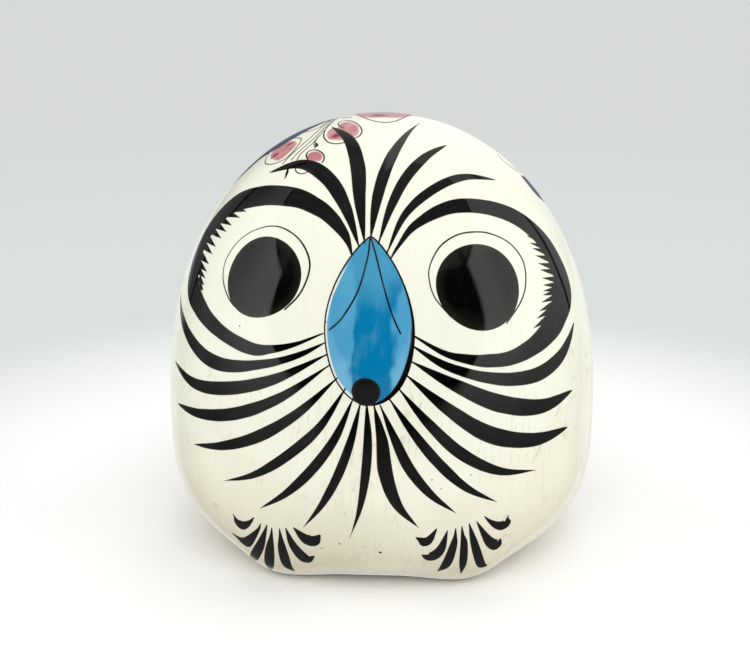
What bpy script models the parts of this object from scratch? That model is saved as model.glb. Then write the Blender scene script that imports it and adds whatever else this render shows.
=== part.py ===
"""Hand-built hollow ceramic owl figure, Tonala style, in metres, +Z up, face towards -Y.

The pot is two press-moulded half shells luted together along a seam in the plane y = 0, a
base slab that plugs the opening underneath, two beads of soft clay that seal the joints from
inside, and an applied beak pad.  Every piece keeps a small joint gap to its neighbours.
"""
from math import cos, exp, pi, radians, sin, sqrt

import bmesh
import bpy
from mathutils import Vector

# Overall form
HEIGHT = 0.150          # foot to crown
HALF_WIDTH = 0.075      # widest half-width, side to side
FRONT_DEPTH = 0.0665    # seam plane to the belly
BACK_DEPTH = 0.0675     # seam plane to the back
WIDEST_AT = 0.049       # height of the widest section
DOME_POWER = 2.28       # roundness of the body above its widest section
TUCK_POWER = 3.43       # how late the body tucks in below its widest section
TUCK_ROUND = 1.58       # roundness of that tuck
SECTION_POWER = 2.15    # plan section: 2 is an ellipse, more is boxier
FOOT_SIDE = 0.58        # share of the widest section left at the foot, at the sides
FOOT_FRONT = 0.64       # the same at the front
FOOT_BACK = 0.66        # the same at the back

# Two low feet modelled in the mould, in front
TOE_BULGE = 0.009
TOE_AZIMUTH = 0.60      # radians either side of straight ahead
TOE_SPREAD = 0.26
TOE_HEIGHT = 0.024

# Construction
WALL = 0.005            # clay wall
JOINT = 0.0003          # gap between neighbouring pieces
OPENING = 0.84          # share of the foot outline that is open underneath
SLAB_THICK = 0.0066
VENT_RADIUS = 0.0045    # firing hole in the slab
COIL_RADIUS = 0.003     # clay beads rolled into the joints
COIL_CLEAR = 0.0006     # coil to its neighbours
BASE_COIL_HEIGHT = SLAB_THICK + COIL_CLEAR + COIL_RADIUS

# Applied beak
BEAK_TIP = 0.069        # height of the lower end
BEAK_WIDEST = 0.093
BEAK_APEX = 0.1195
BEAK_HALF_WIDTH = 0.0138
BEAK_EDGE = 0.0007      # relief at the rim
BEAK_RELIEF = 0.0041    # relief at the lower end
BEAK_FALL = 0.72        # share of that relief lost by the apex
BEAK_POINT = 1.8        # powers that draw the sides in to the apex
BEAK_SIDES = 0.8

# Mesh resolution
AROUND = 36             # steps around each half shell
RISE_STEPS = 15         # rings from the widest section to the crown
TUCK_STEPS = 12         # rings from the foot to the widest section
COIL_TUCK_STEPS = 6     # steps of the seam coil below the widest section
BEAK_STEPS = 48         # steps around the beak
BEAK_SHARES = (1.0, 0.985, 0.94, 0.86, 0.74, 0.60, 0.44, 0.28, 0.13)

CLAY = (0.55, 0.40, 0.27)
CREAM_GLAZE = (0.84, 0.80, 0.68)
BLUE_GLAZE = (0.03, 0.24, 0.42)


def start_clean():
    for obj in list(bpy.data.objects):
        bpy.data.objects.remove(obj, do_unlink=True)
    parts = bpy.data.collections.new("ceramic_owl")
    bpy.context.scene.collection.children.link(parts)
    return parts


def material(name, colour, roughness, coat=0.0):
    mat = bpy.data.materials.new(name)
    mat.use_nodes = True
    shader = mat.node_tree.nodes["Principled BSDF"]
    shader.inputs["Base Color"].default_value = (*colour, 1.0)
    shader.inputs["Roughness"].default_value = roughness
    shader.inputs["Coat Weight"].default_value = coat
    mat.diffuse_color = (*colour, 1.0)
    return mat


def add_object(name, data, mat, height=0.0):
    data.materials.append(mat)
    obj = bpy.data.objects.new(name, data)
    obj.location.z = height
    PARTS.objects.link(obj)
    return obj


def add_mesh(name, bm, mat):
    bmesh.ops.recalc_face_normals(bm, faces=bm.faces)
    mesh = bpy.data.meshes.new(name)
    bm.to_mesh(mesh)
    bm.free()
    mesh.shade_smooth()
    mesh.set_sharp_from_angle(angle=radians(40))
    return add_object(name, mesh, mat)


def bridge(bm, low, high, closed):
    """Quads between two rings of the same number of vertices."""
    count = len(low)
    for i in range(count if closed else count - 1):
        j = (i + 1) % count
        bm.faces.new((low[i], low[j], high[j], high[i]))


# ---------------------------------------------------------------- body form

def swell(z, foot_share, inset=0.0):
    """Share of the widest section left at height z, for a wall set in by `inset`."""
    if z >= WIDEST_AT:
        rise = min((z - WIDEST_AT) / (HEIGHT - inset - WIDEST_AT), 1.0)
        return sqrt(max(1.0 - rise ** DOME_POWER, 0.0))
    drop = min((WIDEST_AT - z) / (WIDEST_AT - inset), 1.0)
    return foot_share + (1.0 - foot_share) * (1.0 - drop ** TUCK_POWER) ** (1.0 / TUCK_ROUND)


def toe(azimuth, z):
    """Extra radius of the two moulded feet."""
    fade = max(1.0 - z / TOE_HEIGHT, 0.0) ** 2
    left = exp(-((azimuth - TOE_AZIMUTH) / TOE_SPREAD) ** 2)
    right = exp(-((azimuth + TOE_AZIMUTH) / TOE_SPREAD) ** 2)
    return TOE_BULGE * fade * (left + right)


def body_point(azimuth, z, inset=0.0):
    """Point of the body wall, or of the inside of the wall for an inset."""
    half = (HALF_WIDTH - inset) * swell(z, FOOT_SIDE, inset)
    if cos(azimuth) >= 0.0:
        depth = (FRONT_DEPTH - inset) * swell(z, FOOT_FRONT, inset)
    else:
        depth = (BACK_DEPTH - inset) * swell(z, FOOT_BACK, inset)
    bulge = toe(azimuth, z) if inset == 0.0 else 0.0
    return polar(azimuth, superellipse(azimuth, half, depth) + bulge, z)


def opening_point(azimuth, z, shrink=0.0):
    """Outline of the opening in the foot; it follows the plain foot, without the toes."""
    half = HALF_WIDTH * FOOT_SIDE * OPENING - shrink
    depth = FRONT_DEPTH * FOOT_FRONT if cos(azimuth) >= 0.0 else BACK_DEPTH * FOOT_BACK
    return polar(azimuth, superellipse(azimuth, half, depth * OPENING - shrink), z)


def superellipse(azimuth, half, depth):
    """Radius of the plan section at an azimuth; 0 faces -Y, positive turns towards +X."""
    side_part = abs(sin(azimuth) / half) ** SECTION_POWER
    depth_part = abs(cos(azimuth) / depth) ** SECTION_POWER
    return (side_part + depth_part) ** (-1.0 / SECTION_POWER)


def polar(azimuth, radius, z):
    return Vector((radius * sin(azimuth), -radius * cos(azimuth), z))


def ring_heights(inset=0.0):
    """Heights from the foot to just under the crown, close together where the wall turns."""
    heights = []
    for step in range(TUCK_STEPS):
        drop = cos(step / TUCK_STEPS * pi / 2) ** (2.0 / TUCK_POWER)
        heights.append(WIDEST_AT - (WIDEST_AT - inset) * drop)
    for step in range(RISE_STEPS):
        rise = sin(step / RISE_STEPS * pi / 2) ** (2.0 / DOME_POWER)
        heights.append(WIDEST_AT + (HEIGHT - inset - WIDEST_AT) * rise)
    return heights


# ---------------------------------------------------------------- pieces

def half_shell(name, facing, mat):
    """One pressed half: facing +1 is the front (towards -Y), -1 the back."""
    middle = 0.0 if facing > 0 else pi
    joint_shift = Vector((0.0, -facing * JOINT / 2, 0.0))
    bm = bmesh.new()

    def add_ring(make_point):
        verts = []
        for step in range(AROUND + 1):
            point = make_point(middle - pi / 2 + pi * step / AROUND)
            if step in (0, AROUND):
                point.y = 0.0
            verts.append(bm.verts.new(point + joint_shift))
        return verts

    outer = [add_ring(lambda a, z=z: body_point(a, z)) for z in ring_heights()]
    inner = [add_ring(lambda a, z=z: body_point(a, z, WALL)) for z in ring_heights(WALL)]
    outer.insert(0, add_ring(lambda a: opening_point(a, 0.0)))
    inner.insert(0, add_ring(lambda a: opening_point(a, WALL)))
    outer_crown = bm.verts.new(Vector((0.0, 0.0, HEIGHT)) + joint_shift)
    inner_crown = bm.verts.new(Vector((0.0, 0.0, HEIGHT - WALL)) + joint_shift)

    for rings, crown in ((outer, outer_crown), (inner, inner_crown)):
        for low, high in zip(rings, rings[1:]):
            bridge(bm, low, high, closed=False)
        for i in range(AROUND):
            bm.faces.new((rings[-1][i], rings[-1][i + 1], crown))
    bridge(bm, outer[0], inner[0], closed=False)
    for edge in (0, AROUND):
        bridge(bm, [ring[edge] for ring in outer] + [outer_crown],
               [ring[edge] for ring in inner] + [inner_crown], closed=False)
    return add_mesh(name, bm, mat)


def add_line(curve, points, closed):
    line = curve.splines.new("POLY")
    line.points.add(len(points) - 1)
    for spot, point in zip(line.points, points):
        spot.co = (*point, 1.0)
    line.use_cyclic_u = closed
    line.use_smooth = True


def all_around():
    return [pi * k / AROUND for k in range(2 * AROUND)]


def base_slab(name, mat):
    """Plug in the foot, flush with the table, with a firing hole through it."""
    curve = bpy.data.curves.new(name, "CURVE")
    curve.dimensions = "2D"
    curve.fill_mode = "BOTH"
    curve.extrude = SLAB_THICK / 2
    add_line(curve, [opening_point(a, 0.0, JOINT) for a in all_around()], True)
    add_line(curve, [polar(a, VENT_RADIUS, 0.0) for a in all_around()], True)
    return add_object(name, curve, mat, SLAB_THICK / 2)


def bead(name, points, closed, mat):
    """Roll of clay along a line of points."""
    curve = bpy.data.curves.new(name, "CURVE")
    curve.dimensions = "3D"
    curve.bevel_depth = COIL_RADIUS
    curve.bevel_resolution = 2
    curve.use_fill_caps = not closed
    add_line(curve, points, closed)
    return add_object(name, curve, mat)


def base_coil_points():
    """Ring on top of the joint between the slab and the shells."""
    return [opening_point(a, BASE_COIL_HEIGHT) for a in all_around()]


def seam_coil_points():
    """Arch along the inside of the seam, from one foot corner over the crown to the other."""
    inset = WALL + COIL_CLEAR + COIL_RADIUS
    start = BASE_COIL_HEIGHT + 2 * COIL_RADIUS + COIL_CLEAR
    heights = []
    for step in range(COIL_TUCK_STEPS):
        heights.append(start + (WIDEST_AT - start) * step / COIL_TUCK_STEPS)
    for step in range(RISE_STEPS):
        rise = sin(step / RISE_STEPS * pi / 2) ** (2.0 / DOME_POWER)
        heights.append(WIDEST_AT + (HEIGHT - inset - WIDEST_AT) * rise)
    half = HALF_WIDTH - inset
    right = [Vector((half * swell(z, FOOT_SIDE, inset), 0.0, z)) for z in heights]
    left = [Vector((-p.x, 0.0, p.z)) for p in reversed(right)]
    return right + [Vector((0.0, 0.0, HEIGHT - inset))] + left


def beak_outline(angle):
    """Teardrop seen from the front: (x, z), angle 0 at the apex."""
    along = cos(angle)
    if along >= 0.0:
        z = BEAK_WIDEST + along * (BEAK_APEX - BEAK_WIDEST)
        half = (1.0 - along ** BEAK_POINT) ** BEAK_SIDES
    else:
        z = BEAK_WIDEST + along * (BEAK_WIDEST - BEAK_TIP)
        half = sqrt(1.0 - along * along)
    side = 1.0 if sin(angle) >= 0.0 else -1.0
    return side * BEAK_HALF_WIDTH * half, z


def front_y(x, z):
    """Y of the front wall at (x, z)."""
    half = HALF_WIDTH * swell(z, FOOT_SIDE)
    depth = FRONT_DEPTH * swell(z, FOOT_FRONT)
    return -depth * (1.0 - abs(x / half) ** SECTION_POWER) ** (1.0 / SECTION_POWER)


def beak_relief(share, z):
    """Height of the pad over the body; share runs from 0 in the middle to 1 at the rim."""
    reach = max((z - BEAK_TIP) / (BEAK_APEX - BEAK_TIP), 0.0)
    ridge = (BEAK_RELIEF - BEAK_EDGE) * (1.0 - BEAK_FALL * reach)
    return BEAK_EDGE + ridge * sqrt(1.0 - share * share)


def beak(name, mat):
    """Pad with a domed face, its underside one joint gap off the body."""
    bm = bmesh.new()
    middle = Vector((0.0, BEAK_WIDEST))

    def add_ring(share, domed):
        verts = []
        for k in range(BEAK_STEPS):
            spot = middle.lerp(Vector(beak_outline(2 * pi * k / BEAK_STEPS)), share)
            lift = beak_relief(share, spot.y) if domed else 0.0
            verts.append(bm.verts.new((spot.x, front_y(spot.x, spot.y) - JOINT - lift, spot.y)))
        return verts

    face = [add_ring(share, True) for share in BEAK_SHARES]
    underside = [add_ring(share, False) for share in BEAK_SHARES]
    for rings in (face, underside):
        for outer, inner in zip(rings, rings[1:]):
            bridge(bm, outer, inner, closed=True)
        bm.faces.new(rings[-1])
    bridge(bm, face[0], underside[0], closed=True)
    return add_mesh(name, bm, mat)


def build():
    half_shell("front_shell", 1, material("front_glaze", CREAM_GLAZE, 0.22, 0.6))
    half_shell("back_shell", -1, material("back_glaze", CREAM_GLAZE, 0.22, 0.6))
    base_slab("base_slab", material("slab_clay", CLAY, 0.85))
    bead("base_coil", base_coil_points(), True, material("ring_clay", CLAY, 0.9))
    bead("seam_coil", seam_coil_points(), False, material("seam_clay", CLAY, 0.9))
    beak("beak", material("beak_glaze", BLUE_GLAZE, 0.2, 0.6))


PARTS = start_clean()
build()
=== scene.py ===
"""Looks of the ceramic owl: glazed body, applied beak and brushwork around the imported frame.

Brushwork is laid out on charts.  A chart gives each spot on the body as degrees to the right
and degrees up from its middle, seen from EYE_LEVEL inside the head.  Widths are in millimetres.
"""
from math import atan2, cos, pi, radians, sin, sqrt

import bpy
import numpy as np
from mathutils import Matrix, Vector, noise
from mathutils.bvhtree import BVHTree
from mathutils.interpolate import poly_3d_calc


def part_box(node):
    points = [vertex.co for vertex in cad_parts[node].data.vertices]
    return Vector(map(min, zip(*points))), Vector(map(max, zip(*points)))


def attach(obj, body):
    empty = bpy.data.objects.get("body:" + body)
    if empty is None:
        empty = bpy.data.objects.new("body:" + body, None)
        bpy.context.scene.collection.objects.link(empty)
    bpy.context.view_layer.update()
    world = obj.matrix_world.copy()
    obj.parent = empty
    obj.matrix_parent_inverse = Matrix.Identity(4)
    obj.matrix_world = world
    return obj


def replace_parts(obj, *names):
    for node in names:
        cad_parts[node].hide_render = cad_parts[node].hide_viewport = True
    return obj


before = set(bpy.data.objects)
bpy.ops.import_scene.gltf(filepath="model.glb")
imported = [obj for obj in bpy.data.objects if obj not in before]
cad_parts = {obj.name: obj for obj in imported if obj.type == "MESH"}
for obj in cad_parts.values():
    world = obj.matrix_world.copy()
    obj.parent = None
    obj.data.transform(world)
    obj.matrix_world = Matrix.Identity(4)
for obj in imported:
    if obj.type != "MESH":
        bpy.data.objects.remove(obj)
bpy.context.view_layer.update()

MM = 0.001

# ---- sizes, from the frame

front_low, front_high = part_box("front_shell")
back_low, back_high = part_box("back_shell")
slab_low, slab_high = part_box("base_slab")
beak_low, beak_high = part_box("beak")
HEIGHT = front_high.z
HALF_WIDTH = front_high.x
FRONT_DEPTH = front_high.y - front_low.y
BACK_DEPTH = back_high.y - back_low.y
OPENING_HALF = slab_high.x
OPENING_FRONT = -slab_low.y
OPENING_BACK = slab_high.y
BEAK_HALF_WIDTH = beak_high.x
BEAK_TIP = beak_low.z
BEAK_APEX = beak_high.z

# The form of the moulded body, as in the CAD
WIDEST_AT = 0.049
DOME_POWER = 2.28
TUCK_POWER = 3.43
TUCK_ROUND = 1.58
SECTION_POWER = 2.15
FOOT_SIDE = 0.58
FOOT_FRONT = 0.64
FOOT_BACK = 0.66
TOE_BULGE = 9 * MM
TOE_AZIMUTH = 0.60
TOE_SPREAD = 0.26
TOE_HEIGHT = 24 * MM
WALL = 5 * MM

# The beak, as in the CAD but worked into the body at its rim
BEAK_WIDEST = 0.093
BEAK_POINT = 1.8
BEAK_SIDES = 0.8
BEAK_RIM = 0.05 * MM
BEAK_RIDGE = 3.6 * MM
BEAK_FALL = 0.7
BEAK_SINK = 0.6 * MM

AROUND = 110            # columns of each half shell
TUCK_STEPS = 26
RISE_STEPS = 50
BEAK_STEPS = 120
BEAK_RINGS = 18
FLOOR_REACH = 9.0
FLOOR_DROP = 0.05 * MM
PHOTO_WIDTH = 750

# How far paint stands proud of the glaze, in millimetres
WASH_LIFT = 0.04
STROKE_LIFT = 0.05
BLOT_LIFT = 0.055
BROW_LIFT = 0.06
INK_LIFT = 0.07
OVER_LIFT = 0.09
TOP_LIFT = 0.12
PAINT_SINK = 0.12 * MM
FILM_SHIFT = 3.1        # sets the streaks of one film apart from the next

GLAZE_ROUGHNESS = 0.04
GLAZE_BUMP = (0.04, 0.6 * MM)
CRACKLE_FLATTEN = 0.11
CRACKLE_CELLS = 19.0
BACKDROP = 0.68


# ---- body surface

def swell(height, foot_share, inset):
    """Share of the widest section left at each height."""
    rise = np.clip((height - WIDEST_AT) / (HEIGHT - inset - WIDEST_AT), 0.0, 1.0)
    drop = np.clip((WIDEST_AT - height) / (WIDEST_AT - inset), 0.0, 1.0)
    dome = np.sqrt(1.0 - rise ** DOME_POWER)
    tuck = foot_share + (1.0 - foot_share) * (1.0 - drop ** TUCK_POWER) ** (1.0 / TUCK_ROUND)
    return np.where(height >= WIDEST_AT, dome, tuck)


def superellipse(azimuth, half, depth):
    side_part = np.abs(np.sin(azimuth) / half) ** SECTION_POWER
    depth_part = np.abs(np.cos(azimuth) / depth) ** SECTION_POWER
    return (side_part + depth_part) ** (-1.0 / SECTION_POWER)


def polar(azimuth, radius, height):
    return np.stack([radius * np.sin(azimuth), -radius * np.cos(azimuth), height], axis=-1)


def body_points(azimuth, height, inset=0.0):
    """Points of the wall; azimuth 0 faces -Y and turns towards +X."""
    half = (HALF_WIDTH - inset) * swell(height, FOOT_SIDE, inset)
    front = (FRONT_DEPTH - inset) * swell(height, FOOT_FRONT, inset)
    back = (BACK_DEPTH - inset) * swell(height, FOOT_BACK, inset)
    depth = np.where(np.cos(azimuth) >= 0.0, front, back)
    radius = superellipse(azimuth, half, depth)
    if inset == 0.0:
        fade = np.clip(1.0 - height / TOE_HEIGHT, 0.0, 1.0) ** 2
        for middle in (-TOE_AZIMUTH, TOE_AZIMUTH):
            radius = radius + TOE_BULGE * fade * np.exp(-((azimuth - middle) / TOE_SPREAD) ** 2)
    return polar(azimuth, radius, height)


def ring_heights(inset=0.0):
    tuck = np.cos(np.arange(TUCK_STEPS) / TUCK_STEPS * pi / 2) ** (2.0 / TUCK_POWER)
    rise = np.sin(np.arange(RISE_STEPS) / RISE_STEPS * pi / 2) ** (2.0 / DOME_POWER)
    low = WIDEST_AT - (WIDEST_AT - inset) * tuck
    high = WIDEST_AT + (HEIGHT - inset - WIDEST_AT) * rise
    return np.concatenate([low, high])


def unit(vectors):
    return vectors / np.maximum(np.linalg.norm(vectors, axis=-1, keepdims=True), 1e-12)


def grid_normals(grid):
    """Outward normals of a grid whose columns close on themselves."""
    around = np.roll(grid, -1, axis=1) - np.roll(grid, 1, axis=1)
    upward = np.gradient(grid, axis=0)
    return unit(np.cross(around, upward))


def hand_wobble(point):
    """The slight unevenness of a pressed and sponged surface."""
    slow = noise.noise(Vector(point) / 0.034)
    quick = noise.noise(Vector(point) / 0.011 + Vector((5, 1, 2)))
    return 0.16 * MM * slow + 0.03 * MM * quick


def wobbled(grid, normals):
    amounts = np.array([hand_wobble(p) for p in grid.reshape(-1, 3)]).reshape(grid.shape[:2])
    return grid + normals * amounts[..., None]


AZIMUTHS = -pi / 2 + pi * np.arange(2 * AROUND) / AROUND
WRAPPED = (AZIMUTHS + pi) % (2 * pi) - pi


def build_body_grid():
    heights, azimuths = np.meshgrid(ring_heights(), WRAPPED, indexing="ij")
    grid = body_points(azimuths, heights)
    grid = wobbled(grid, grid_normals(grid))
    grid[:, (0, AROUND), 1] = 0.0
    grid[0, :, 2] = 0.0
    return grid, grid_normals(grid)


BODY, BODY_NORMALS = build_body_grid()
CROWN = np.array([0.0, 0.0, HEIGHT + hand_wobble((0.0, 0.0, HEIGHT))])


# ---- casting onto the surface

class Surface:
    """Smooth surface that paint is cast onto."""

    def __init__(self):
        self.points = []
        self.normals = []
        self.faces = []

    def add_grid(self, grid, normals, top, top_normal):
        """Grid whose columns close on themselves, capped by a top point."""
        start = len(self.points)
        rows, columns = grid.shape[:2]
        self.points += [Vector(p) for p in grid.reshape(-1, 3)] + [Vector(top)]
        self.normals += [Vector(n) for n in normals.reshape(-1, 3)] + [Vector(top_normal)]
        last = start + rows * columns
        for r in range(rows):
            for c in range(columns):
                a = start + r * columns + c
                b = start + r * columns + (c + 1) % columns
                if r + 1 < rows:
                    self.faces.append((a, b, b + columns, a + columns))
                else:
                    self.faces.append((a, b, last))
        self.tree = BVHTree.FromPolygons(self.points, self.faces)

    def cast(self, origin, direction):
        """Where a ray meets the surface, and the smooth normal there."""
        spot, _, index, _ = self.tree.ray_cast(origin, direction)
        if spot is None:
            spot, _, index, _ = self.tree.find_nearest(origin)
        corners = self.faces[index]
        weights = poly_3d_calc([self.points[k] for k in corners], spot)
        normal = sum((w * self.normals[k] for w, k in zip(weights, corners)), Vector())
        return spot, normal.normalized()

    def drop(self, point):
        """Cast from outside, through a point near the surface, towards EYE_LEVEL."""
        direction = (Vector(point) - EYE_LEVEL).normalized()
        return self.cast(EYE_LEVEL + direction * 0.3, -direction)


EYE_LEVEL = Vector((0.0, 0.0, 0.070))
surface = Surface()
surface.add_grid(BODY, BODY_NORMALS, CROWN, (0.0, 0.0, 1.0))


# ---- mesh helpers

def new_object(name, points, faces, material, normals=None, values=None):
    """Mesh piece on the root body; normals and values go by vertex."""
    mesh = bpy.data.meshes.new(name)
    mesh.from_pydata([tuple(p) for p in points], [], faces)
    for key, numbers in (values or {}).items():
        layer = mesh.attributes.new(key, "FLOAT", "POINT")
        layer.data.foreach_set("value", np.asarray(numbers, dtype=np.float32))
    mesh.shade_smooth()
    if normals is not None:
        mesh.normals_split_custom_set_from_vertices([tuple(n) for n in normals])
    mesh.materials.append(material)
    obj = bpy.data.objects.new(name, mesh)
    bpy.context.scene.collection.objects.link(obj)
    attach(obj, "root")
    return obj


def row_quads(low, high, closed):
    count = len(low)
    pairs = [(i, (i + 1) % count) for i in range(count if closed else count - 1)]
    return [(low[i], low[j], high[j], high[i]) for i, j in pairs]


# ---- the two half shells

def opening_ring(height):
    depth = np.where(np.cos(WRAPPED) >= 0.0, OPENING_FRONT, OPENING_BACK)
    radius = superellipse(WRAPPED, OPENING_HALF, depth)
    return polar(WRAPPED, radius + 0.3 * MM, np.full_like(WRAPPED, height))


def half_shell(name, first_column, material):
    """Closed half of the body: outer wall, inner wall, foot rim and seam face."""
    columns = [(first_column + k) % (2 * AROUND) for k in range(AROUND + 1)]
    heights, azimuths = np.meshgrid(ring_heights(WALL), WRAPPED, indexing="ij")
    inside = body_points(azimuths, heights, WALL)
    inside[:, (0, AROUND), 1] = 0.0
    strip = np.concatenate([inside[::-1], opening_ring(WALL)[None], opening_ring(0.0)[None], BODY])
    strip = strip[:, columns]
    strip[:, (0, -1), 1] = 0.0
    rows, count = strip.shape[:2]
    points = list(strip.reshape(-1, 3)) + [CROWN, np.array([0.0, 0.0, HEIGHT - WALL])]
    normals = np.zeros((len(points), 3))
    normals[-2 - len(BODY) * count:-2] = BODY_NORMALS[:, columns].reshape(-1, 3)
    normals[-2] = (0.0, 0.0, 1.0)

    index = np.arange(rows * count).reshape(rows, count).tolist()
    crown, inner_crown = rows * count, rows * count + 1
    faces = []
    for low, high in zip(index, index[1:]):
        faces += row_quads(low, high, closed=False)
    faces += [(a, b, crown) for a, b in zip(index[-1], index[-1][1:])]
    faces += [(b, a, inner_crown) for a, b in zip(index[0], index[0][1:])]
    outer = index[rows // 2:] + [[crown] * count]
    inner = index[rows // 2 - 1::-1] + [[inner_crown] * count]
    for r in range(rows // 2):
        faces.append((outer[r][-1], inner[r][-1], inner[r + 1][-1], outer[r + 1][-1]))
        faces.append((inner[r][0], outer[r][0], outer[r + 1][0], inner[r + 1][0]))
    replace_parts(new_object(name + "_glazed", points, faces, material, normals), name)


# ---- the beak

def beak_outline(angle):
    """Teardrop seen from the front: (x, z), angle 0 at the apex."""
    along = cos(angle)
    if along >= 0.0:
        z = BEAK_WIDEST + along * (BEAK_APEX - BEAK_WIDEST)
        half = (1.0 - along ** BEAK_POINT) ** BEAK_SIDES
    else:
        z = BEAK_WIDEST + along * (BEAK_WIDEST - BEAK_TIP)
        half = sqrt(1.0 - along * along)
    return (1.0 if sin(angle) >= 0.0 else -1.0) * BEAK_HALF_WIDTH * half, z


def beak_spot(angle, share, extra=0.0):
    """Point on the beak; share runs from 0 in the middle to 1 at the rim."""
    x, z = beak_outline(angle)
    x, z = share * x, BEAK_WIDEST + share * (z - BEAK_WIDEST)
    wall, _ = body_only.cast(Vector((x, -0.3, z)), Vector((0.0, 1.0, 0.0)))
    reach = max((z - BEAK_TIP) / (BEAK_APEX - BEAK_TIP), 0.0)
    bulge = BEAK_RIDGE * (1.0 - BEAK_FALL * reach) * max(1.0 - share * share, 0.0) ** 0.9
    return Vector((x, wall.y - BEAK_RIM - bulge + extra, z))


def build_beak_grid():
    shares = 1.0 - (np.arange(BEAK_RINGS) / BEAK_RINGS) ** 1.3
    angles = -2 * pi * np.arange(BEAK_STEPS) / BEAK_STEPS
    grid = np.array([[beak_spot(a, s) for a in angles] for s in shares])
    normals = grid_normals(grid)
    return grid, normals, shares, unit(normals[-1].mean(axis=0))


def beak(material):
    """Closed pad: painted face, and an underside sunk into the body."""
    rows, columns = BEAK.shape[:2]
    middle = np.array(beak_spot(0.0, 0.0))
    sunk_rim = BEAK[0] + np.array([0.0, BEAK_SINK, 0.0])
    sunk_middle = sunk_rim.mean(axis=0) + np.array([0.0, BEAK_SINK, 0.0])
    points = list(BEAK.reshape(-1, 3)) + [middle] + list(sunk_rim) + [sunk_middle]
    normals = list(BEAK_NORMALS.reshape(-1, 3)) + [BEAK_FACING]
    normals += [(0.0, 0.0, 0.0)] * (columns + 1)
    index = np.arange(rows * columns).reshape(rows, columns).tolist()
    centre = rows * columns
    rim = list(range(centre + 1, centre + 1 + columns))
    faces = []
    for low, high in zip(index, index[1:]):
        faces += row_quads(low, high, closed=True)
    faces += [(a, b, centre) for a, b in zip(index[-1], index[-1][1:] + index[-1][:1])]
    faces += row_quads(rim, index[0], closed=True)
    faces += [(b, a, rim[-1] + 1) for a, b in zip(rim, rim[1:] + rim[:1])]
    shares = list(np.repeat(BEAK_SHARES, columns)) + [0.0] + [1.0] * (columns + 1)
    obj = new_object("beak_glazed", points, faces, material, normals,
                     {"share": shares})
    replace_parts(obj, "beak")


body_only = Surface()
body_only.add_grid(BODY, BODY_NORMALS, CROWN, (0.0, 0.0, 1.0))
BEAK, BEAK_NORMALS, BEAK_SHARES, BEAK_FACING = build_beak_grid()
surface.add_grid(BEAK, BEAK_NORMALS, beak_spot(0.0, 0.0), BEAK_FACING)


# ---- charts

class Chart:
    """Degrees right and up from a middle direction, seen from EYE_LEVEL."""

    def __init__(self, azimuth, tilt):
        self.middle = Vector((sin(azimuth) * cos(tilt), -cos(azimuth) * cos(tilt), sin(tilt)))
        self.right = Vector((cos(azimuth), sin(azimuth), 0.0))
        self.up = self.right.cross(self.middle) * -1.0

    def spot(self, right, up):
        """Surface point at a place on the chart."""
        away = radians(sqrt(right * right + up * up))
        turn = atan2(right, up)
        side = self.right * sin(turn) + self.up * cos(turn)
        return surface.drop(EYE_LEVEL + self.middle * cos(away) + side * sin(away))


FACE = Chart(0.0, radians(15))
NAPE = Chart(pi, radians(15))


def smooth_line(knots, per_span=12):
    """Catmull-Rom line through the knots, end knots included."""
    knots = np.array(knots, dtype=float)
    padded = np.concatenate([[2 * knots[0] - knots[1]], knots, [2 * knots[-1] - knots[-2]]])
    line = []
    for a, b, c, d in zip(padded, padded[1:], padded[2:], padded[3:]):
        for t in np.arange(per_span) / per_span:
            line.append(0.5 * (2 * b + (c - a) * t + (2 * a - 5 * b + 4 * c - d) * t * t
                               + (3 * b - a - 3 * c + d) * t ** 3))
    return np.array(line + [knots[-1]])


def even_steps(points, extras, step):
    """Points and extras at even distances along a line."""
    gaps = np.linalg.norm(np.diff(points, axis=0), axis=1)
    run = np.concatenate([[0.0], np.cumsum(gaps)])
    stops = np.linspace(0.0, run[-1], max(int(run[-1] / step), 6) + 1)
    spaced = np.stack([np.interp(stops, run, points[:, k]) for k in range(3)], axis=1)
    return spaced, np.interp(stops, run, extras), stops / run[-1], run[-1]


def round_spots(chart, middle, outline, share, angles):
    """Surface points and normals at a share of an outline round a chart place."""
    spot, normal = chart.spot(*middle)
    right = (chart.right - normal * chart.right.dot(normal)).normalized()
    up = normal.cross(right)
    return [surface.drop(spot + (right * cos(a) + up * sin(a)) * (share * outline(a) * MM))
            for a in angles]


# ---- paint films

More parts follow.
